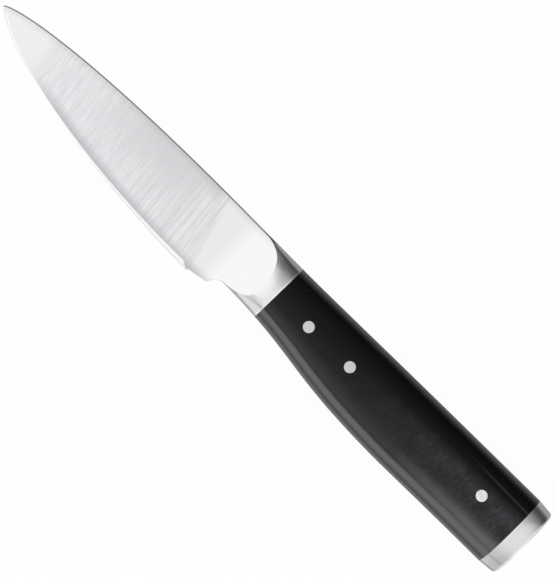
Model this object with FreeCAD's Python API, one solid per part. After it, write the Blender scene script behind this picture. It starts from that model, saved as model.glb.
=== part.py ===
import FreeCAD, Part
import math
import os

# Paring knife: a forged blade with bolster and full tang, two riveted scales and a steel end cap.
# Millimetres and degrees. While the pieces are made, x runs from the front of the scales towards
# the butt, y from the cutting edge towards the spine and z from the right side to the left side.
# The tip lies on y = 0 and the middle of the knife on z = 0.

# Lengths along the knife
blade_length = 106.2          # tip to the front of the scales, bolster included
scale_length = 88.0
cap_length = 5.1

# Outline heights, measured from the line through the tip
spine_height = 8.34           # where the flare of the bolster starts
bolster_height = 8.6          # at the front of the scales
butt_height = 11.38
bolster_depth = 9.14
belly_depth = 12.71           # the deepest place of the handle
butt_depth = 11.4

# Heel of the blade
heel_reach = 15.7             # heel corner, ahead of the scales
heel_step = 3.06              # heel corner, below the bolster
notch_run = 4.1               # heel corner to the inner end of the wall of the notch
notch_rise = 0.84             # inner end of that wall, above the underside of the bolster
ricasso_length = 5.9          # unsharpened stretch ahead of the heel corner
ricasso_drop = 1.2            # its front end, below the heel corner
edge_step = 0.45              # end of the cutting edge, below the ricasso

# Section of the handle and the bolster
handle_thickness = 13.6
cap_taper = 0.5               # how far the cap's top and belly draw in towards the butt
butt_rounding = 0.9

# Grinding of the blade
blade_thickness = 2.2         # at the spine, where the flare starts
flare_length = 18.15          # round run-out of the flat, up to the crest of the bolster's side
bolster_land = 4.35           # left of that crest ahead of the scales
tip_thickness = 0.55
edge_thickness = 0.66         # of the flats, carried on to the rear end of the cutting edge
bevel_angle = 16.0            # on each side of the cutting edge
edge_allowance = 0.5          # blank left below the cutting edge before it is ground
bevel_overrun = 0.4           # how far the bevel nicks the ricasso
spine_easing = 0.2            # radius along the spine, from the tip to the flare

# Tang and end cap
tang_thickness = 2.2
tenon_height = 10.0
tenon_clearance = 0.05
cap_wall = 2.1                # steel behind the tenon

# Two-part rivets
front_rivet_place = 11.9      # behind the front of the scales
middle_rivet_place = 27.05    # behind the front of the scales
rear_rivet_inset = 12.35      # ahead of the rear end of the scales
rivet_drop = 10.06            # below the straight line along the handle's top
rivet_pin_diameter = 1.5
rivet_tube_wall = 0.5
rivet_head_overhang = 0.33
rivet_head_depth = 1.2
rivet_floor = 0.4             # between the head of the tube half and its bore
rivet_clearance = 0.05        # all round a rivet, and between its two halves
rivet_end_gap = 0.2           # ahead of the ends of the tube and the pin

# Curve poles, as shares of the run and the rise from one end of a curve to the other
spine_tip_shares = (0.01, 0.18)
spine_run_share = 0.79
edge_tip_shares = (0.117, 0.698)
edge_heel_shares = (0.66, 1.045)
top_front_share = 0.13
top_rear_shares = (0.32, 0.4)
belly_share = 0.487
swell_share = 0.475
belly_front_shares = (0.2, 0.0)
belly_rear_shares = (0.2, 0.35)
notch_shares = (0.23, 0.64)
crest_share = 0.35            # height of the crest of the handle's sides, from the belly to the top
oval_share = 0.62             # fullness of the handle's oval section, 0.55 for an ellipse
run_on_share = 0.03           # of a curve, run on past the tip so that cuts cross cleanly
easing_wall_share = 0.8       # most of the half thickness at the tip that the easing may take

# Sizes that follow
half_thickness = handle_thickness / 2
half_blade = blade_thickness / 2
half_tang = tang_thickness / 2
easing_radius = min(spine_easing, easing_wall_share * tip_thickness / 2)
half_flat = half_blade - easing_radius    # of the flat along the spine, the top and the belly
handle_length = scale_length + cap_length
overall_length = blade_length + handle_length
flare_start = -(bolster_land + flare_length)
ricasso_depth = bolster_depth + heel_step + ricasso_drop
edge_depth = ricasso_depth + edge_step
tool_size = overall_length    # reach of a cutting tool past the knife
tube_radius = rivet_pin_diameter / 2 + rivet_tube_wall
head_radius = tube_radius + rivet_head_overhang
same_place = 1e-5 * overall_length
section_count = 24            # sections along the handle


def vec(x, y, z=0):
    return FreeCAD.Vector(x, y, z)


ALONG = vec(1, 0)
UP = vec(0, 0, 1)
MIDDLE = vec(0, 0)

# Corners of the outline
tip = vec(-blade_length, 0)
flare_top = vec(flare_start, spine_height)
flare_bottom = vec(flare_start, -bolster_depth)
front_top = vec(0, bolster_height)
rear_top = vec(handle_length, butt_height)
rear_bottom = vec(handle_length, -butt_depth)
belly = vec(belly_share * handle_length, -belly_depth)
heel = vec(-heel_reach, -bolster_depth - heel_step)
notch_end = heel + vec(notch_run, heel_step + notch_rise)
underside = vec(notch_end.x, -bolster_depth)
ricasso_front = vec(-heel_reach - ricasso_length, -ricasso_depth)
edge_end = vec(ricasso_front.x, -edge_depth)


def share_point(start, end, shares):
    return vec(start.x + shares[0] * (end.x - start.x), start.y + shares[1] * (end.y - start.y))


def line(start, end):
    return Part.LineSegment(start, end).toShape()


def curve(poles):
    bezier = Part.BezierCurve()
    bezier.setPoles(poles)
    return bezier.toShape()


def box(x_low, x_high, y_low, y_high, z_low, z_high):
    return Part.makeBox(x_high - x_low, y_high - y_low, z_high - z_low, vec(x_low, y_low, z_low))


def prism(edges, low, high):
    face = Part.Face(Part.Wire(edges))
    face.translate(low * UP)
    return face.extrude((high - low) * UP)


def right_of(shape):
    """The same shape on the right side of the knife."""
    return shape.mirror(MIDDLE, UP)


def inward(start, end):
    """Unit vector square to a stretch that runs towards the butt, pointing to the spine side."""
    step = end - start
    return vec(-step.y, step.x).normalize()


def shifted(poles, amount, height=0):
    """Poles of a curve beside the given one, at another height, moved square to its two ends."""
    at_start = amount * inward(poles[0], poles[1]) + height * UP
    at_end = amount * inward(poles[2], poles[3]) + height * UP
    return [poles[0] + at_start, poles[1] + at_start, poles[2] + at_end, poles[3] + at_end]


def blossom(poles, *places):
    for place in places:
        poles = [a + (b - a) * place for a, b in zip(poles, poles[1:])]
    return poles[0]


def run_on(poles):
    """Poles of the same cubic curve, begun a little before its first end."""
    early = -run_on_share
    first = blossom(poles, early, early, early)
    return [first, blossom(poles, early, early, 1), blossom(poles, early, 1, 1), poles[3]]


def spine_poles():
    back = (flare_top - front_top) * (spine_run_share * (flare_top.x - tip.x) / (front_top.x - flare_top.x))
    return [tip, share_point(tip, flare_top, spine_tip_shares), flare_top + back, flare_top]


def edge_poles():
    near_tip = share_point(tip, edge_end, edge_tip_shares)
    near_heel = share_point(tip, edge_end, edge_heel_shares)
    return [tip, near_tip, near_heel, edge_end]


def handle_top():
    ahead = (front_top - flare_top) * (top_front_share * handle_length / (front_top.x - flare_top.x))
    near_rear = share_point(front_top, rear_top, top_rear_shares)
    return curve([front_top, front_top + ahead, near_rear, rear_top])


def handle_underside():
    middle = underside.x + swell_share * (belly.x - underside.x)
    front = curve([belly, vec(middle, belly.y), vec(middle, underside.y), underside])
    near_belly = share_point(belly, rear_bottom, belly_front_shares)
    near_butt = share_point(belly, rear_bottom, belly_rear_shares)
    rear = curve([rear_bottom, near_butt, near_belly, belly])
    return [rear, front]


def blade_blank():
    """Blade and heel, at full thickness, with a little to spare below the cutting edge."""
    spine = run_on(spine_poles())
    edge = shifted(edge_poles(), -edge_allowance)
    inner_front = vec(flare_top.x, tip.y)
    inner_rear = vec(notch_end.x, tip.y)
    notch_pole = share_point(heel, notch_end, notch_shares)
    outline = [
        curve(spine),
        line(flare_top, inner_front),
        line(inner_front, inner_rear),
        line(inner_rear, notch_end),
        curve([notch_end, notch_pole, heel]),
        line(heel, ricasso_front),
        line(ricasso_front, edge[3]),
        curve(edge[::-1]),
        line(edge[0], spine[0]),
    ]
    return prism(outline, -half_thickness, half_thickness)


def lies_at(edge, axis, place):
    return all(abs(getattr(vertex.Point, axis) - place) < same_place for vertex in edge.Vertexes)


def handle_side_view():
    """Bolster and handle as one flat face, carried on to the butt."""
    outline = [
        line(flare_top, front_top),
        handle_top(),
        line(rear_top, rear_bottom),
        *handle_underside(),
        line(underside, flare_bottom),
        line(flare_bottom, flare_top),
    ]
    return Part.Face(Part.Wire(outline))


def oval_quarter(x, edge, crest, side):
    """Poles of a quarter of a section, from the flat along the top or the belly to the crest of a side."""
    flat = side * half_flat
    wide = side * half_thickness
    near_edge = vec(x, edge, flat + oval_share * (wide - flat))
    near_crest = vec(x, crest + oval_share * (edge - crest), wide)
    return [vec(x, edge, flat), near_edge, near_crest, vec(x, crest, wide)]


def reach(side_view, x):
    """Heights of the belly and the top at one place along the handle."""
    crossing = line(vec(x, -tool_size), vec(x, tool_size)).common(side_view)
    heights = [vertex.Y for vertex in crossing.Vertexes]
    return min(heights), max(heights)


def section(x, low, high):
    """Oval section of the handle between two heights."""
    crest = low + crest_share * (high - low)
    top_left = oval_quarter(x, high, crest, 1)
    top_right = oval_quarter(x, high, crest, -1)
    low_left = oval_quarter(x, low, crest, 1)
    low_right = oval_quarter(x, low, crest, -1)
    outline = [
        curve(top_left),
        curve(low_left[::-1]),
        line(low_left[0], low_right[0]),
        curve(low_right),
        curve(top_right[::-1]),
        line(top_right[0], top_left[0]),
    ]
    return Part.Wire(outline)


def handle_blank():
    """Bolster and handle in one oval bar, before it is parted."""
    side_view = handle_side_view()
    step = (scale_length - flare_start) / (section_count - 1)
    places = [flare_start + number * step for number in range(section_count)]
    return Part.makeLoft([section(x, *reach(side_view, x)) for x in places], True)


def grinding_tool():
    """All that is ground off the left side: above a flat that runs into a round flare."""
    start = flare_top + half_blade * UP
    to_tip = tip + tip_thickness / 2 * UP - start
    to_edge = edge_end + edge_thickness / 2 * UP - start
    outward = to_tip.cross(to_edge).normalize()
    across = outward.cross(ALONG).normalize()
    along = across.cross(outward)
    rise = half_thickness - half_blade
    radius = (flare_length ** 2 + rise ** 2) / (2 * rise)
    centre = start + radius * outward
    halfway = centre + radius * (along - outward).normalize()
    flare_end = centre + radius * along
    far_tip = start - tool_size * along
    flare = Part.Arc(start, halfway, flare_end).toShape()
    far_top = far_tip + radius * outward
    outline = [line(far_tip, start), flare, line(flare_end, far_top), line(far_top, far_tip)]
    face = Part.Face(Part.Wire(outline))
    face.translate(-tool_size * across)
    return face.extrude(2 * tool_size * across)


def bevel_wire(height):
    """Outline, at one height, of all that lies outside the left bevel of the cutting edge."""
    poles = run_on(shifted(edge_poles(), height / math.tan(math.radians(bevel_angle)), height))
    end = poles[3] + bevel_overrun * ALONG
    below_end = vec(end.x, -tool_size, height)
    below_tip = vec(tip.x - tool_size, -tool_size, height)
    sides = [line(poles[3], end), line(end, below_end), line(below_end, below_tip), line(below_tip, poles[0])]
    return Part.Wire([curve(poles), *sides])


def bevel_tool():
    return Part.makeLoft([bevel_wire(-half_blade / 2), bevel_wire(half_blade)], True, True)


def left_zone():
    return box(0, scale_length, -tool_size, tool_size, half_tang, tool_size)


def tenon(clearance=0):
    """End of the tang inside the cap, or, with a clearance, the slot that it sits in."""
    middle = (butt_height - butt_depth) / 2
    reach = tenon_height / 2 + clearance
    side = half_tang + clearance
    end = handle_length - cap_wall - tenon_clearance + clearance
    return box(scale_length, end, middle - reach, middle + reach, -side, side)


def rivet_places():
    slope = (butt_height - bolster_height) / handle_length
    places = {
        "front": front_rivet_place,
        "middle": middle_rivet_place,
        "rear": scale_length - rear_rivet_inset,
    }
    return {name: vec(x, bolster_height + slope * x - rivet_drop) for name, x in places.items()}


def cylinder(place, radius, low, high):
    return Part.makeCylinder(radius, high - low, place + low * UP)


def rivet_holes():
    """Room for the three rivets through both scales and the tang, with their sunk heads."""
    head_low = half_thickness - rivet_head_depth
    hole = tube_radius + rivet_clearance
    sink = head_radius + rivet_clearance
    shapes = []
    for place in rivet_places().values():
        shapes.append(cylinder(place, hole, -tool_size, tool_size))
        shapes.append(cylinder(place, sink, head_low, tool_size))
        shapes.append(cylinder(place, sink, -tool_size, -head_low))
    return shapes


def is_spine_edge(edge):
    """True of the two edges that run from the start of the flare to the tip."""
    places = [vertex.Point for vertex in edge.Vertexes]
    starts = any(math.hypot(p.x - flare_top.x, p.y - flare_top.y) < same_place for p in places)
    return starts and any(p.x < flare_start - same_place for p in places)


def ease_spine(forging):
    blade_zone = box(-tool_size, flare_start, -tool_size, tool_size, -tool_size, tool_size)
    blade = forging.common(blade_zone)
    blade = blade.makeFillet(easing_radius, [edge for edge in blade.Edges if is_spine_edge(edge)])
    return blade.fuse(forging.cut(blade_zone)).removeSplitter()


def blade_with_tang(bar):
    blank = blade_blank().fuse(bar).removeSplitter()
    forging = blank.cut([left_zone(), right_of(left_zone())]).fuse(tenon()).removeSplitter()
    for tool in (grinding_tool(), bevel_tool()):
        forging = forging.cut(tool).cut(right_of(tool))
    return ease_spine(forging).cut(rivet_holes())


def scale(bar, zone):
    return bar.common(zone).cut(rivet_holes())


def end_cap():
    """Cap that carries on the handle's section, drawn in a little and rounded at the butt."""
    front = section(scale_length, *reach(handle_side_view(), scale_length))
    rear = section(handle_length, cap_taper - butt_depth, butt_height - cap_taper)
    cap = Part.makeLoft([front, rear], True, True)
    butt_edges = [edge for edge in cap.Edges if lies_at(edge, "x", handle_length)]
    return cap.makeFillet(butt_rounding, butt_edges).cut(tenon(tenon_clearance))


def rivet_sleeve(bar, place):
    """Tube half of a rivet, with its head ground flush on the right side."""
    tube_end = half_thickness - rivet_head_depth - rivet_end_gap
    head_top = rivet_head_depth - half_thickness
    head = cylinder(place, head_radius, -half_thickness, head_top)
    tube = cylinder(place, tube_radius, -half_thickness, tube_end)
    bore = cylinder(place, rivet_pin_diameter / 2 + rivet_clearance, head_top + rivet_floor, tool_size)
    return head.fuse(tube).removeSplitter().cut(bore).common(bar)


def rivet_pin(bar, place):
    """Pin half of a rivet, with its head ground flush on the left side."""
    head = cylinder(place, head_radius, half_thickness - rivet_head_depth, half_thickness)
    pin_end = rivet_head_depth - half_thickness + rivet_floor + rivet_end_gap
    pin = cylinder(place, rivet_pin_diameter / 2, pin_end, half_thickness)
    return head.fuse(pin).removeSplitter().common(bar)


def make_pieces():
    bar = handle_blank()
    pieces = {
        "blade_with_tang": blade_with_tang(bar),
        "left_scale": scale(bar, left_zone()),
        "right_scale": scale(bar, right_of(left_zone())),
        "end_cap": end_cap(),
    }
    for name, place in rivet_places().items():
        pieces[name + "_rivet_sleeve"] = rivet_sleeve(bar, place)
        pieces[name + "_rivet_pin"] = rivet_pin(bar, place)
    return pieces


def main():
    os.makedirs("parts", exist_ok=True)
    pieces = make_pieces()
    whole = Part.makeCompound(list(pieces.values())).optimalBoundingBox(False, False)
    to_origin = -vec(whole.Center.x, whole.Center.y, whole.ZMin)
    for name, shape in pieces.items():
        shape.translate(to_origin)
        shape.exportStep("parts/" + name + ".step")
        print(name, shape.ShapeType, len(shape.Solids), shape.isValid(), round(shape.Volume, 2))
    print("overall", [round(size, 3) for size in (whole.XLength, whole.YLength, whole.ZLength)])


main()
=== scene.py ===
import math
import bpy
from mathutils import Matrix, Vector

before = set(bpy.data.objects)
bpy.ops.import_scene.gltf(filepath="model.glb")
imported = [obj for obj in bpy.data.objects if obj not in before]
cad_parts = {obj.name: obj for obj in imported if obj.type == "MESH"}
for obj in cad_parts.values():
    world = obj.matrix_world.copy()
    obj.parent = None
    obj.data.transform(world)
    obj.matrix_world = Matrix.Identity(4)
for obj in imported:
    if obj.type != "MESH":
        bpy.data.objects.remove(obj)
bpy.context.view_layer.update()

# Paring knife lying on its right side on a white floor, seen from above.
# Metres. +x runs from the tip to the butt, +y from the cutting edge to the spine, +z up.
# Unless a comment says otherwise, a pair is where something starts to show and where it shows fully.
# A facing runs from -1 on a surface that looks to the edge side to 1 on one that looks to the spine side.
MM = 0.001

# Camera
IMAGE_HEIGHT = 577
PIXELS_PER_METRE = 3750                       # at the middle of the knife
CAMERA_DISTANCE = 630 * MM
CAMERA_TILT = math.radians(-1.5)
KNIFE_TURN = math.radians(46.03)
LOOK_AT = Vector((5.31, 1.42, 6.8)) * MM
SENSOR = 36.0
CLIP_SHARE = 0.1                              # of the camera's distance, within which nothing is seen

# Floor and sky
WHITE = (1, 1, 1, 1)
FLOOR_HALF = 4.0
FLOOR_GAP = 0.02 * MM
FLOOR_COLOUR = (0.95, 0.95, 0.95, 1)
FLOOR_GLOW_SHARE = 0.95                       # of its own white in what the camera and reflections see
SKY_STRENGTH = 1.0

# Tent of soft light over the knife, which only reflections see
TENT_RADIUS = 0.8
TENT_FRONT = -4.0
TENT_REAR = 1.2
TENT_SIDES = 48
TENT_BRIGHT = 0.98
DIP_LEAN = math.radians(-56)                  # narrow darker strip on the edge side
DIP_HALF_WIDTH = math.radians(12)
DIP_DEPTH = 0.25
TIP_GAIN = 1.2                                # how much brighter the tent is beyond the tip
TIP_GAIN_PLACES = (-0.15, -0.45)

# Card beside the handle on the spine side, which only reflections see, dark below and white above
FLANK_DARK = 0.1
FLANK_LEAN = (math.radians(60), math.radians(9))
FLANK_FOOT_LEAN = (math.radians(70), math.radians(95))
FLANK_FOOT_GLOW = 0.3                         # of its grey foot, towards the butt
FLANK_Y = 150 * MM
FLANK_TOP = 950 * MM
FLANK_X_SPAN = (-16 * MM, 300 * MM)           # front and rear
HANDLE_TOP = (6 * MM, 10 * MM)                # y and z from which its leans are measured

# Grey cards on the floor along the spine and under the belly, which only reflections see: painted shade
# of the floor beside the knife
SPINE_CARD_SPAN = (5 * MM, 780 * MM)          # y of its two sides
BELLY_CARD_SPAN = (-20 * MM, -4 * MM)         # y of its two sides
BELLY_CARD_STRENGTH = 0.5
SPINE_CARD_STRENGTHS = (0.28, 0.42)           # ahead of and behind the next places
CARD_PLACES = (40 * MM, 100 * MM)

# Places on the knife, as x and y
TIP = (-99.65 * MM, 1.33 * MM)
SPINE_END = (-15.95 * MM, 9.67 * MM)
EDGE_END = (-15.05 * MM, -12.52 * MM)
FLARE_END = (2.3 * MM, -1.06 * MM)            # the rearmost place of the flare
FOOT_START = (0.88 * MM, -6.03 * MM)          # of the dark line low on the bolster
CREST_START = (-2.3 * MM, 8.72 * MM)          # of the dark line high on the bolster

# Places along the knife
BOLSTER_REAR = 6.55 * MM
CAP_FRONT = 94.55 * MM
CAP_REAR = 99.65 * MM

# Poles of the curves from the tip to the ends of the spine and the edge, as shares of the way in x and y
SPINE_SHARES = ((0.0, 0.0), (0.01, 0.18), (0.21, 0.908), (1.0, 1.0))
EDGE_SHARES = ((0.0, 0.0), (0.117, 0.698), (0.66, 1.045), (1.0, 1.0))
CURVE_STEPS = 10

# Ground lines, each as a turn from square to the knife, a width and a length
LONG_SCRATCHES = (math.radians(7), 0.22 * MM, 20 * MM)
SHORT_SCRATCHES = (math.radians(10), 0.4 * MM, 6 * MM)
DEEP_LINES = (math.radians(7), 0.42 * MM, 30 * MM)
SANDING_MARKS = (math.radians(-8), 0.4 * MM, 1.8 * MM)
CAP_LINES = (0.0, 0.2 * MM, 9 * MM)
RIVET_LINES = (math.radians(55), 0.3 * MM, 3 * MM)

# Noise that draws the lines and the clouds
LINE_DETAIL = 3.0
LINE_ROUGHNESS = 0.6
LINE_SPREAD = (0.36, 0.64)                    # part of the noise that carries most of the lines
SCRATCH_SHARE = 0.5                           # of the long and of the short scratches in the ground lines
CLOUD_DETAIL = 2.0
CLOUD_SPREAD = (0.25, 0.75)                   # part of the noise that carries most of the clouds

# Steel of the blade's flats and of the flare
BLADE_LIGHT = (0.81, 0.817, 0.828, 1)
BLADE_DARK = (0.675, 0.683, 0.7, 1)
GROUND_LEAN = math.radians(15.5)              # of the borders where the ground lines end
DEEP_DARK = (0.61, 0.616, 0.63, 1)            # deeper lines towards the flare
DEEP_LIGHT = (0.87, 0.877, 0.888, 1)
DEEP_ZONE = (-58 * MM, -30 * MM)
DEEP_SHARE = 0.5
# Painted highlight at the tip, on even steel without the ground lines
TIP_HIGHLIGHT = (0.826, 0.8255, 0.8235, 1)
TIP_ZONE = (-79.5 * MM, -84.5 * MM)
FLARE_HIGHLIGHT = (0.835, 0.836, 0.836, 1)        # painted highlight at the front of the flare
FLARE_BASE = (0.79, 0.792, 0.792, 1)          # the rest of it
FLARE_ZONE = (-19 * MM, -17 * MM)
FLARE_FALL = (-17 * MM, -8 * MM)
TOP_SHADE = (0.64, 0.645, 0.66, 1)            # painted shade below the middle of the spine
TOP_SHADE_HEIGHT = (-9 * MM, 10 * MM)
TOP_SHADE_FRONT = (-72 * MM, -45 * MM)
TOP_SHADE_REAR = (-20 * MM, -34 * MM)
REAR_SHADE_HEIGHT = (3.5 * MM, 8.5 * MM)      # the same painted shade, higher up ahead of the flare
REAR_SHADE_FRONT = (-42 * MM, -32 * MM)
REAR_SHADE_REAR = (-19.8 * MM, -21.5 * MM)
EDGE_SHADE = (0.5, 0.51, 0.53, 1)             # painted shade towards the cutting edge
EDGE_SHADE_HEIGHT = (3.8 * MM, 0.1 * MM)
EDGE_SHADE_ZONE = (-86 * MM, -66 * MM)
BLADE_ROUGHNESS = (0.24, 0.42)                # least and most, from line to line
FLARE_ROUGHNESS = 0.2
SCRATCH_DEPTH = 0.004 * MM

# Steel of the bevel and along the spine
# Painted highlight on the bevel
BEVEL_HIGHLIGHT = (0.93, 0.935, 0.94, 1)
BEVEL_FACING = (-0.1, -0.2)
BEVEL_ZONE = (-14 * MM, -14.6 * MM)
BEVEL_TIP = (-99 * MM, -88 * MM)
HEEL_PLACES = (-18.5 * MM, -15 * MM)          # where the bevel narrows to the heel
HEEL_WIDTHS = (1.6 * MM, 0.1 * MM)            # its widths at those two places
HEEL_SOFT = 0.2 * MM                          # how far it fades to each side of that width
EDGE_LINE = (0.16 * MM, 0.06 * MM)            # painted dark line along the cutting edge itself
EDGE_LINE_ZONE = (-62 * MM, -42 * MM)
TIP_LINE = (0.5 * MM, 0.2 * MM)               # the same near the tip, fainter
TIP_LINE_ZONE = (-78 * MM, -84 * MM)
TIP_LINE_SHARE = 0.3
SPINE_SHADE = (0.2, 0.2, 0.204, 1)             # painted shade on the rounded corner along the spine
SPINE_FACING = (0.15, 0.5)
SPINE_ZONE = (-2 * MM, -5 * MM)
SPINE_LINE = (0.6 * MM, 0.25 * MM)            # distance below the spine
SPINE_SOFT = (2.4 * MM, 0.5 * MM)             # distance below the spine
SPINE_SOFT_SHARE = 0.14

# Steel of the bolster
BOLSTER_DARK = (0.77, 0.768, 0.765, 1)
BOLSTER_LIGHT = (0.85, 0.85, 0.848, 1)
MOTTLE_SIZE = 0.4 * MM
BOLSTER_ZONE = (-8 * MM, -6 * MM)
BOLSTER_FACING = (-0.08, -0.03)               # along +x, because the flare looks forward
BOLSTER_SHADE = (0.62, 0.605, 0.59, 1)        # painted shade towards the spine
BOLSTER_SHADE_FACING = (0.02, 0.22)
BOLSTER_HIGHLIGHT = (0.93, 0.93, 0.925, 1)        # painted highlight just behind the flare
BOLSTER_HIGHLIGHT_FADE = (3.2 * MM, 0.0)
FLARE_BEND = 42                               # per metre, of the rear end of the flare
BOLSTER_LOW = (0.72, 0.72, 0.715, 1)          # painted shade round to the belly
BOLSTER_LOW_FACING = (-0.2, -0.38)
FOOT_LINE = (0.56, 0.56, 0.555, 1)            # painted dark line of shade from the foot of the flare to the scales
FOOT_SLOPE = 0.179
FOOT_HALF_WIDTH = 0.55 * MM
CREST_LINE = (0.36, 0.355, 0.35, 1)           # painted dark line of shade from the top of the flare to the scales
CREST_SLOPE = -0.096
CREST_HALF_WIDTH = 0.65 * MM
CREST_HIGHLIGHT = (0.95, 0.945, 0.94, 1)            # painted highlight above that line
CREST_HIGHLIGHT_HEIGHT = (0.25 * MM, 0.85 * MM)
CORNER_HIGHLIGHT = (0.92, 0.92, 0.92, 1)          # painted highlight on the corner at the scales, and on the rim of the cap
CORNER_WIDTH = 0.7 * MM

# Black plastic of the scales
PLASTIC_BLACK = (0.002, 0.002, 0.0022, 1)
PLASTIC_SHEEN = (0.037, 0.0405, 0.0445, 1)     # painted sheen on the sides, stronger towards the butt
SHEEN_FACING = (0.27, 0.08)
SHEEN_ZONE = (23 * MM, 106 * MM)               # the second lies behind the butt
SHEEN_DIP_FACING = (0.12, 0.02)                # where the painted sheen is thinner, above the belly
SHEEN_DIP_SHARE = 0.62                         # of the painted sheen that is left there
SHEEN_MARKS = (0.7, 1.22)                      # least and most strength of the painted sheen, from sanding mark to mark
SHEEN_PATCHES = (0.65, 1.3)                    # least and most, from patch to patch
PATCH_SIZE = 4 * MM
PLASTIC_HIGHLIGHT = (0.122, 0.117, 0.1175, 1)      # painted highlight along the belly, the top and low at the butt
SIDE_FACING = (0.2, -0.4)
SIDE_ZONE = (35 * MM, 90 * MM)
SIDE_SHARES = (0.3, 0.12)                     # of the painted highlight at those two places
LOW_FACING = (0.02, -0.24)
LOW_ZONE = (38 * MM, 98 * MM)                 # the second lies in the cap
LOW_SHARE = 0.9
BELLY_FACING = (-0.38, -0.5)
TOP_FACING = (0.53, 1.08)                     # it never shows fully
LINE_COLOUR = (0.022, 0.02, 0.014, 1)         # thin pale line high on the side, towards the butt
LINE_PLACE = 7.57 * MM
LINE_HALF_WIDTH = 0.5 * MM
LINE_ZONE = (69 * MM, 87 * MM)
PLASTIC_ROUGHNESS = (0.22, 0.36)              # least and most, from mark to mark
PLASTIC_SPECULAR = 0.12
SANDING_DEPTH = 0.003 * MM

# Painted dark lines of shade along the belly, each as a facing, half a width and a share of black
SHADE_LINES = ((-0.37, 0.06, 0.25), (-0.78, 0.17, 0.55))

# Steel of the cap and the rivets
CAP_DARK = (0.7, 0.705, 0.7, 1)
CAP_LIGHT = (0.79, 0.79, 0.79, 1)
CAP_SHADE = (0.5, 0.5, 0.5, 1)                # painted shade on the lower half of the cap's sides
CAP_SHADE_FACING = (0.1, -0.35)
CAP_SHADE_SHARES = (0.75, 1.2)                # at the front and the rear of the cap
CAP_BAND = (0.55, 0.55, 0.55, 1)              # painted shade: a darker band high on the cap's sides
CAP_BAND_LOWER = (0.15, 0.25)
CAP_BAND_RISE = 0.14                          # of its lower side, from the front of the cap to the rear
CAP_BAND_UPPER = (0.66, 0.48)
CAP_RIM = (0.25, 0.6)                         # facing to the rear of the rim with the painted highlight
CAP_ROUGHNESS = (0.1, 0.2)                    # least and most, from line to line
RIVET_DARK = (0.68, 0.685, 0.69, 1)
RIVET_LIGHT = (0.88, 0.885, 0.89, 1)
RIVET_FRONT_DARK = (0.54, 0.542, 0.545, 1)          # darker steel on the two front rivets
RIVET_FRONT_DARK_SHARE = 0.75
RIVET_FRONT_DARK_ZONE = (75 * MM, 40 * MM)
RIVET_ROUGHNESS = (0.25, 0.38)                # least and most, from line to line
BRUSH_DEPTH = 0.003 * MM

# Sockets of a mix node for each kind of mix: its two inputs and its output
MIX_SOCKETS = {"RGBA": (6, 7, 2), "FLOAT": (2, 3, 0)}


def node(tree, kind, inputs=None, **settings):
    """Adds a node with its settings, and links or sets its inputs."""
    made = tree.nodes.new(kind)
    for name, value in settings.items():
        setattr(made, name, value)
    for key, value in (inputs or {}).items():
        set_input(tree, made.inputs[key], value)
    return made


def set_input(tree, socket, value):
    if isinstance(value, bpy.types.NodeSocket):
        tree.links.new(value, socket)
    else:
        socket.default_value = value


def place(tree):
    return node(tree, "ShaderNodeTexCoord").outputs["Object"]


def axes(tree):
    return node(tree, "ShaderNodeSeparateXYZ", {"Vector": place(tree)}).outputs[0:3]


def facing(tree, axis="Y"):
    """How far a surface looks along an axis, the spine side's unless another is named."""
    normal = node(tree, "ShaderNodeTexCoord").outputs["Normal"]
    return node(tree, "ShaderNodeSeparateXYZ", {"Vector": normal}).outputs[axis]


def math_of(tree, operation, first, second=0.0, third=0.0):
    return node(tree, "ShaderNodeMath", {0: first, 1: second, 2: third}, operation=operation).outputs[0]


def combined(tree, operation, values):
    """One value made from several by the same operation."""
    result = values[0]
    for value in values[1:]:
        result = math_of(tree, operation, result, value)
    return result


def times(tree, *values):
    return combined(tree, "MULTIPLY", values)


def most(tree, *values):
    return combined(tree, "MAXIMUM", values)


def ramp(tree, value, span, ends=(0.0, 1.0)):
    """A smooth step from one end to the other while a value crosses a span."""
    inputs = {
        "Value": value,
        "From Min": span[0],
        "From Max": span[1],
        "To Min": ends[0],
        "To Max": ends[1],
    }
    return node(tree, "ShaderNodeMapRange", inputs, interpolation_type="SMOOTHSTEP").outputs["Result"]


def near(tree, apart, half_width):
    """Full where a distance is zero, and nothing from the half width on."""
    return ramp(tree, math_of(tree, "ABSOLUTE", apart), (half_width, 0.0))


def streaks(tree, turn, width, length):
    """Noise drawn out into fine lines that run across the knife."""
    inputs = {"Vector": place(tree), "Rotation": (0, 0, turn), "Scale": (width, length, length)}
    lines = node(tree, "ShaderNodeMapping", inputs, vector_type="TEXTURE").outputs["Vector"]
    inputs = {"Vector": lines, "Scale": 1.0, "Detail": LINE_DETAIL, "Roughness": LINE_ROUGHNESS}
    return node(tree, "ShaderNodeTexNoise", inputs).outputs["Fac"]


def clouds(tree, size):
    inputs = {"Vector": place(tree), "Scale": 1 / size, "Detail": CLOUD_DETAIL}
    return node(tree, "ShaderNodeTexNoise", inputs).outputs["Fac"]


def mix(tree, share, first, second, kind="RGBA"):
    """A mix of two colours, or of two values where the kind says so."""
    first_socket, second_socket, result = MIX_SOCKETS[kind]
    inputs = {"Factor": share, first_socket: first, second_socket: second}
    return node(tree, "ShaderNodeMix", inputs, data_type=kind).outputs[result]


def bump(tree, height, depth):
    return node(tree, "ShaderNodeBump", {"Height": height, "Distance": depth}).outputs["Normal"]


def new_material(name):
    material = bpy.data.materials.new(name)
    material.use_nodes = True
    return material, material.node_tree, material.node_tree.nodes["Principled BSDF"]


def connect(tree, shader, **sockets):
    for name, value in sockets.items():
        set_input(tree, shader.inputs[name.replace("_", " ")], value)


def curve_share(shares, step, axis):
    """Share along one axis of a place on a cubic curve."""
    first, second, third, fourth = [pole[axis] for pole in shares]
    left = 1 - step
    return left ** 3 * first + 3 * left * step * (left * second + step * third) + step ** 3 * fourth


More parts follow.
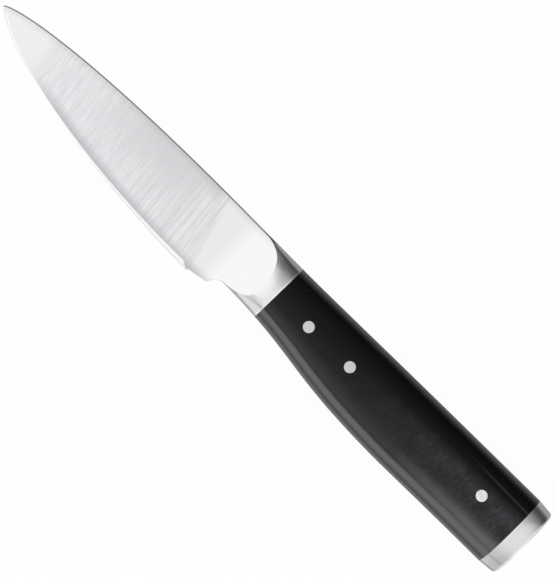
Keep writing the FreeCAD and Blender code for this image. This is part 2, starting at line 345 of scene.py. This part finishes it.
def above_curve(tree, shares, end):
    """Height of a place above the curve that runs from the tip to the given end."""
    x, y = axes(tree)[0:2]
    inputs = {"Value": x, "From Min": TIP[0], "From Max": end[0]}
    run = node(tree, "ShaderNodeMapRange", inputs).outputs["Result"]
    line = node(tree, "ShaderNodeFloatCurve", {"Value": run})
    for number in range(1, CURVE_STEPS):
        step = number / CURVE_STEPS
        line.mapping.curves[0].points.new(curve_share(shares, step, 0), curve_share(shares, step, 1))
    line.mapping.update()
    level = math_of(tree, "MULTIPLY_ADD", line.outputs[0], end[1] - TIP[1], TIP[1])
    return math_of(tree, "SUBTRACT", y, level)


def above_line(tree, start, slope):
    """Height of a place above a straight line."""
    x, y = axes(tree)[0:2]
    run = math_of(tree, "SUBTRACT", x, start[0])
    level = math_of(tree, "MULTIPLY_ADD", run, slope, start[1])
    return math_of(tree, "SUBTRACT", y, level)


def slanted_x(tree):
    """Place along the knife, measured along lines that lean as the ends of the ground lines do."""
    x, y = axes(tree)[0:2]
    return math_of(tree, "MULTIPLY_ADD", y, math.tan(GROUND_LEAN), x)


def scratches(tree):
    """Ground lines of two lengths that cross at a small angle."""
    both = math_of(tree, "ADD", streaks(tree, *LONG_SCRATCHES), streaks(tree, *SHORT_SCRATCHES))
    return times(tree, both, SCRATCH_SHARE)


def ground_colour(tree, x, lines):
    """Colour of the ground lines, with deeper ones towards the flare."""
    colour = mix(tree, ramp(tree, lines, LINE_SPREAD), BLADE_DARK, BLADE_LIGHT)
    deep = mix(tree, ramp(tree, streaks(tree, *DEEP_LINES), LINE_SPREAD), DEEP_DARK, DEEP_LIGHT)
    return mix(tree, ramp(tree, x, DEEP_ZONE, (0.0, DEEP_SHARE)), colour, deep)


def below_spine(tree, x, y, slanted):
    """Where the painted shade lies below the middle of the spine and ahead of the flare."""
    middle = times(tree, ramp(tree, y, TOP_SHADE_HEIGHT), ramp(tree, x, TOP_SHADE_FRONT))
    middle = times(tree, middle, ramp(tree, x, TOP_SHADE_REAR))
    rear = times(tree, ramp(tree, y, REAR_SHADE_HEIGHT), ramp(tree, x, REAR_SHADE_FRONT))
    rear = times(tree, rear, ramp(tree, slanted, REAR_SHADE_REAR))
    return most(tree, middle, rear)


def shaded_flat(tree, lines, height):
    """Colour of the flats and the flare, with the painted shade below the spine and at the edge, and the
    painted highlights at the tip and the front of the flare.
    """
    x, y = axes(tree)[0:2]
    slanted = slanted_x(tree)
    colour = mix(tree, below_spine(tree, x, y, slanted), ground_colour(tree, x, lines), TOP_SHADE)
    colour = mix(tree, ramp(tree, slanted, TIP_ZONE), colour, TIP_HIGHLIGHT)
    flare = mix(tree, ramp(tree, x, FLARE_FALL), FLARE_HIGHLIGHT, FLARE_BASE)
    colour = mix(tree, ramp(tree, slanted, FLARE_ZONE), colour, flare)
    near_edge = times(tree, ramp(tree, height, EDGE_SHADE_HEIGHT), ramp(tree, x, EDGE_SHADE_ZONE))
    return mix(tree, near_edge, colour, EDGE_SHADE)


def bright_bevel(tree, x, height):
    """The part of the bevel with the painted highlight, which fades at the tip and narrows to the heel.
    """
    over = math_of(tree, "SUBTRACT", height, ramp(tree, x, HEEL_PLACES, HEEL_WIDTHS))
    return times(tree, ramp(tree, x, BEVEL_TIP), ramp(tree, over, (HEEL_SOFT, -HEEL_SOFT)))


def bevel_finish(tree, x, height, colour):
    """Painted highlight on the bevel, with the painted dark line along the cutting edge."""
    bevel = times(tree, ramp(tree, x, BEVEL_ZONE), ramp(tree, facing(tree), BEVEL_FACING))
    colour = mix(tree, times(tree, bevel, bright_bevel(tree, x, height)), colour, BEVEL_HIGHLIGHT)
    darkened = times(tree, ramp(tree, height, EDGE_LINE), ramp(tree, x, EDGE_LINE_ZONE))
    faint = times(tree, ramp(tree, height, TIP_LINE), ramp(tree, x, TIP_LINE_ZONE), TIP_LINE_SHARE)
    return mix(tree, times(tree, bevel, most(tree, darkened, faint)), colour, EDGE_SHADE)


def near_spine(tree):
    """Painted shade on the rounded corner along the spine, with a narrow painted dark line and a soft
    painted shade beside it.
    """
    drop = math_of(tree, "SUBTRACT", 0.0, above_curve(tree, SPINE_SHARES, SPINE_END))
    soft = ramp(tree, drop, SPINE_SOFT, (0.0, SPINE_SOFT_SHARE))
    return most(tree, ramp(tree, facing(tree), SPINE_FACING), ramp(tree, drop, SPINE_LINE), soft)


def behind_flare(tree):
    """How far a place lies behind the curved end of the flare."""
    x, y = axes(tree)[0:2]
    off_middle = math_of(tree, "SUBTRACT", y, FLARE_END[1])
    level = math_of(tree, "ADD", x, times(tree, off_middle, off_middle, FLARE_BEND))
    return math_of(tree, "SUBTRACT", level, FLARE_END[0])


def bolster_lines(tree, colour):
    """The painted dark lines of shade high and low on the bolster, and the painted highlight above the
    upper one.
    """
    over_crest = above_line(tree, CREST_START, CREST_SLOPE)
    over_foot = above_line(tree, FOOT_START, FOOT_SLOPE)
    colour = mix(tree, near(tree, over_crest, CREST_HALF_WIDTH), colour, CREST_LINE)
    colour = mix(tree, near(tree, over_foot, FOOT_HALF_WIDTH), colour, FOOT_LINE)
    return mix(tree, ramp(tree, over_crest, CREST_HIGHLIGHT_HEIGHT), colour, CREST_HIGHLIGHT)


def bolster_finish(tree, x, colour):
    """Warm mottled steel of the bolster, with a painted highlight at the flare and painted shade towards
    spine and belly.
    """
    towards_spine = facing(tree)
    behind = times(tree, ramp(tree, x, BOLSTER_ZONE), ramp(tree, facing(tree, "X"), BOLSTER_FACING))
    mottled = mix(tree, ramp(tree, clouds(tree, MOTTLE_SIZE), CLOUD_SPREAD), BOLSTER_DARK, BOLSTER_LIGHT)
    finish = mix(tree, ramp(tree, towards_spine, BOLSTER_SHADE_FACING), mottled, BOLSTER_SHADE)
    finish = mix(tree, ramp(tree, behind_flare(tree), BOLSTER_HIGHLIGHT_FADE), finish, BOLSTER_HIGHLIGHT)
    finish = mix(tree, ramp(tree, towards_spine, BOLSTER_LOW_FACING), finish, BOLSTER_LOW)
    return mix(tree, behind, colour, bolster_lines(tree, finish))


def blade_roughness(tree, lines):
    """Roughness that follows the ground lines, and is even on the flare and the bolster."""
    rough = ramp(tree, lines, LINE_SPREAD, BLADE_ROUGHNESS)
    smooth = ramp(tree, slanted_x(tree), FLARE_ZONE)
    return mix(tree, smooth, rough, FLARE_ROUGHNESS, "FLOAT")


def blade_steel():
    material, tree, shader = new_material("satin_blade_steel")
    x = axes(tree)[0]
    lines = scratches(tree)
    height = above_curve(tree, EDGE_SHARES, EDGE_END)
    colour = bevel_finish(tree, x, height, shaded_flat(tree, lines, height))
    colour = bolster_finish(tree, x, colour)
    # Painted shade along the spine
    colour = mix(tree, times(tree, ramp(tree, x, SPINE_ZONE), near_spine(tree)), colour, SPINE_SHADE)
    # Painted highlight on the corner of the bolster at the scales
    corner = ramp(tree, x, (BOLSTER_REAR - CORNER_WIDTH, BOLSTER_REAR))
    colour = mix(tree, corner, colour, CORNER_HIGHLIGHT)
    rough = blade_roughness(tree, lines)
    normal = bump(tree, lines, SCRATCH_DEPTH)
    connect(tree, shader, Base_Color=colour, Metallic=1.0, Roughness=rough, Normal=normal)
    return material


def sheened_plastic(tree, x, towards_spine, marks):
    """Black with the painted sheen, which varies with the sanding marks and in patches."""
    sheen = times(tree, ramp(tree, towards_spine, SHEEN_FACING), ramp(tree, x, SHEEN_ZONE))
    sheen = times(tree, sheen, ramp(tree, towards_spine, SHEEN_DIP_FACING, (1.0, SHEEN_DIP_SHARE)))
    sheen = times(tree, sheen, ramp(tree, marks, LINE_SPREAD, SHEEN_MARKS))
    sheen = times(tree, sheen, ramp(tree, clouds(tree, PATCH_SIZE), CLOUD_SPREAD, SHEEN_PATCHES))
    return mix(tree, sheen, PLASTIC_BLACK, PLASTIC_SHEEN)


def pale_line(tree):
    x, y = axes(tree)[0:2]
    apart = math_of(tree, "SUBTRACT", y, LINE_PLACE)
    return times(tree, near(tree, apart, LINE_HALF_WIDTH), ramp(tree, x, LINE_ZONE))


def highlighted_plastic(tree, x, towards_spine, colour):
    """Adds the painted highlights on the sides, the belly and the top, and the painted dark lines of
    shade in them.
    """
    side = times(tree, ramp(tree, towards_spine, SIDE_FACING), ramp(tree, x, SIDE_ZONE, SIDE_SHARES))
    low = times(tree, ramp(tree, towards_spine, LOW_FACING), ramp(tree, x, LOW_ZONE, (0.0, LOW_SHARE)))
    belly = ramp(tree, towards_spine, BELLY_FACING)
    top = ramp(tree, towards_spine, TOP_FACING)
    for highlight in (most(tree, side, low), belly, top):
        colour = mix(tree, highlight, colour, PLASTIC_HIGHLIGHT)
    for middle, half_width, share in SHADE_LINES:
        apart = math_of(tree, "SUBTRACT", towards_spine, middle)
        shade_line = times(tree, near(tree, apart, half_width), share)
        colour = mix(tree, shade_line, colour, PLASTIC_BLACK)
    return colour


def scale_plastic():
    material, tree, shader = new_material("sanded_black_plastic")
    x = axes(tree)[0]
    towards_spine = facing(tree)
    marks = streaks(tree, *SANDING_MARKS)
    colour = sheened_plastic(tree, x, towards_spine, marks)
    colour = mix(tree, pale_line(tree), colour, LINE_COLOUR)
    colour = highlighted_plastic(tree, x, towards_spine, colour)
    rough = ramp(tree, marks, LINE_SPREAD, PLASTIC_ROUGHNESS)
    connect(tree, shader, Base_Color=colour, Roughness=rough, Specular_IOR_Level=PLASTIC_SPECULAR)
    connect(tree, shader, Normal=bump(tree, marks, SANDING_DEPTH))
    return material


def cap_shades(tree, colour):
    """The painted shade on the lower half of the cap's sides, the painted darker band high on them and
    the painted highlight on the rim.
    """
    towards_spine = facing(tree)
    rearward = ramp(tree, axes(tree)[0], (CAP_FRONT, CAP_REAR))
    share = ramp(tree, rearward, (0.0, 1.0), CAP_SHADE_SHARES)
    low = times(tree, ramp(tree, towards_spine, CAP_SHADE_FACING), share)
    colour = mix(tree, low, colour, CAP_SHADE)
    slanted = math_of(tree, "MULTIPLY_ADD", rearward, -CAP_BAND_RISE, towards_spine)
    band = times(tree, ramp(tree, slanted, CAP_BAND_LOWER), ramp(tree, towards_spine, CAP_BAND_UPPER))
    colour = mix(tree, band, colour, CAP_BAND)
    return mix(tree, ramp(tree, facing(tree, "X"), CAP_RIM), colour, CORNER_HIGHLIGHT)


def cap_steel():
    material, tree, shader = new_material("brushed_cap_steel")
    lines = streaks(tree, *CAP_LINES)
    colour = cap_shades(tree, mix(tree, ramp(tree, lines, LINE_SPREAD), CAP_DARK, CAP_LIGHT))
    rough = ramp(tree, lines, LINE_SPREAD, CAP_ROUGHNESS)
    normal = bump(tree, lines, BRUSH_DEPTH)
    connect(tree, shader, Base_Color=colour, Metallic=1.0, Roughness=rough, Normal=normal)
    return material


def rivet_steel():
    material, tree, shader = new_material("ground_rivet_steel")
    lines = streaks(tree, *RIVET_LINES)
    colour = mix(tree, ramp(tree, lines, LINE_SPREAD), RIVET_DARK, RIVET_LIGHT)
    darkened = ramp(tree, axes(tree)[0], RIVET_FRONT_DARK_ZONE, (0.0, RIVET_FRONT_DARK_SHARE))
    colour = mix(tree, darkened, colour, RIVET_FRONT_DARK)
    rough = ramp(tree, lines, LINE_SPREAD, RIVET_ROUGHNESS)
    normal = bump(tree, lines, BRUSH_DEPTH)
    connect(tree, shader, Base_Color=colour, Metallic=1.0, Roughness=rough, Normal=normal)
    return material


def dress():
    """Gives each piece of the knife its material, which is a rivet's unless the piece is named here."""
    blade = blade_steel()
    plastic = scale_plastic()
    cap = cap_steel()
    rivet = rivet_steel()
    looks = {"blade_with_tang": blade, "left_scale": plastic, "right_scale": plastic, "end_cap": cap}
    for name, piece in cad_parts.items():
        for slot in piece.material_slots:
            slot.material = looks.get(name, rivet)


def add_camera():
    along = Vector((1, 0, 0))
    back = Vector((0, math.sin(CAMERA_TILT), math.cos(CAMERA_TILT)))
    spineward = back.cross(along)
    right = math.cos(KNIFE_TURN) * along + math.sin(KNIFE_TURN) * spineward
    turned = Matrix((right, back.cross(right), back)).transposed().to_4x4()
    data = bpy.data.cameras.new("camera")
    data.sensor_width = SENSOR
    data.lens = PIXELS_PER_METRE * CAMERA_DISTANCE * SENSOR / IMAGE_HEIGHT
    data.clip_start = CLIP_SHARE * CAMERA_DISTANCE
    camera = bpy.data.objects.new("camera", data)
    camera.matrix_world = Matrix.Translation(LOOK_AT + CAMERA_DISTANCE * back) @ turned
    bpy.context.scene.collection.objects.link(camera)
    bpy.context.scene.camera = camera


def add_stage(name, corners, faces, material):
    """A piece of the studio, which is not part of the knife."""
    mesh = bpy.data.meshes.new(name)
    mesh.from_pydata(corners, [], faces)
    mesh.materials.append(material)
    made = bpy.data.objects.new(name, mesh)
    bpy.context.scene.collection.objects.link(made)
    return made


def rectangle(first_span, second_span):
    """Corners of a rectangle, in order round it."""
    left, right = first_span
    low, high = second_span
    return [(left, low), (right, low), (right, high), (left, high)]


def add_sheet(name, corners, material):
    return add_stage(name, corners, [(0, 1, 2, 3)], material)


def add_level_sheet(name, x_span, y_span, z, material):
    return add_sheet(name, [(x, y, z) for x, y in rectangle(x_span, y_span)], material)


def only_reflected(piece):
    piece.visible_camera = False
    piece.visible_diffuse = False
    piece.visible_shadow = False
    piece.visible_transmission = False


def seen_share(tree, share):
    """The given share for rays from the camera, reflections and glass, and none for the rest."""
    rays = node(tree, "ShaderNodeLightPath").outputs
    seen = most(tree, rays["Is Camera Ray"], rays["Is Glossy Ray"], rays["Is Transmission Ray"])
    return times(tree, seen, share)


def add_floor():
    material, tree, shader = new_material("white_floor")
    connect(tree, shader, Base_Color=FLOOR_COLOUR, Roughness=1.0, Specular_IOR_Level=0.0)
    glow = node(tree, "ShaderNodeEmission", {"Color": WHITE, "Strength": 1.0})
    inputs = {0: seen_share(tree, FLOOR_GLOW_SHARE), 1: shader.outputs[0], 2: glow.outputs[0]}
    blended = node(tree, "ShaderNodeMixShader", inputs)
    tree.links.new(blended.outputs[0], tree.nodes["Material Output"].inputs["Surface"])
    span = (-FLOOR_HALF, FLOOR_HALF)
    add_level_sheet("floor", span, span, -FLOOR_GAP, material)


def add_sky():
    world = bpy.data.worlds.new("studio")
    world.use_nodes = True
    background = world.node_tree.nodes["Background"]
    background.inputs["Color"].default_value = WHITE
    background.inputs["Strength"].default_value = SKY_STRENGTH
    bpy.context.scene.world = world


def glowing(name):
    """A material that only glows, with its tree and its glow."""
    material = bpy.data.materials.new(name)
    material.use_nodes = True
    tree = material.node_tree
    tree.nodes.clear()
    glow = node(tree, "ShaderNodeEmission", {"Color": WHITE})
    node(tree, "ShaderNodeOutputMaterial", {"Surface": glow.outputs[0]})
    return material, tree, glow


def tent_light():
    """Soft white with a darker strip on the edge side, and brighter beyond the tip."""
    material, tree, glow = glowing("tent_light")
    x, y, z = axes(tree)
    lean = math_of(tree, "ARCTAN2", y, z)
    from_dip = math_of(tree, "ABSOLUTE", math_of(tree, "SUBTRACT", lean, DIP_LEAN))
    bright = ramp(tree, from_dip, (0.0, DIP_HALF_WIDTH), (TENT_BRIGHT - DIP_DEPTH, TENT_BRIGHT))
    strength = times(tree, bright, ramp(tree, x, TIP_GAIN_PLACES, (1.0, TIP_GAIN)))
    tree.links.new(strength, glow.inputs["Strength"])
    return material


def add_tent():
    corners = []
    for number in range(TENT_SIDES + 1):
        lean = math.pi * number / TENT_SIDES - math.pi / 2
        y = TENT_RADIUS * math.sin(lean)
        z = TENT_RADIUS * math.cos(lean)
        corners += [(TENT_FRONT, y, z), (TENT_REAR, y, z)]
    faces = [(2 * n, 2 * n + 1, 2 * n + 3, 2 * n + 2) for n in range(TENT_SIDES)]
    only_reflected(add_stage("tent", corners, faces, tent_light()))


def flank_light():
    """Dark below and white above, with a grey foot that is brighter towards the butt."""
    material, tree, glow = glowing("flank_light")
    x, y, z = axes(tree)
    away = math_of(tree, "SUBTRACT", y, HANDLE_TOP[0])
    above = math_of(tree, "SUBTRACT", z, HANDLE_TOP[1])
    lean = math_of(tree, "ARCTAN2", away, above)
    bright = ramp(tree, lean, FLANK_LEAN, (FLANK_DARK, TENT_BRIGHT))
    foot_glow = ramp(tree, x, CARD_PLACES, (0.0, FLANK_FOOT_GLOW))
    foot = times(tree, ramp(tree, lean, FLANK_FOOT_LEAN), foot_glow)
    tree.links.new(math_of(tree, "ADD", bright, foot), glow.inputs["Strength"])
    return material


def add_flank():
    corners = [(x, FLANK_Y, z) for x, z in rectangle(FLANK_X_SPAN, (0, FLANK_TOP))]
    only_reflected(add_sheet("flank", corners, flank_light()))


def add_floor_card(name, y_span, strengths):
    material, tree, glow = glowing(name)
    x = axes(tree)[0]
    tree.links.new(ramp(tree, x, CARD_PLACES, strengths), glow.inputs["Strength"])
    only_reflected(add_level_sheet(name, (TENT_FRONT, TENT_REAR), y_span, -FLOOR_GAP / 2, material))


dress()
add_camera()
add_floor()
add_sky()
add_tent()
add_flank()
add_floor_card("spine_card", SPINE_CARD_SPAN, SPINE_CARD_STRENGTHS)
add_floor_card("belly_card", BELLY_CARD_SPAN, (BELLY_CARD_STRENGTH, BELLY_CARD_STRENGTH))
bpy.context.scene.view_settings.view_transform = "Standard"
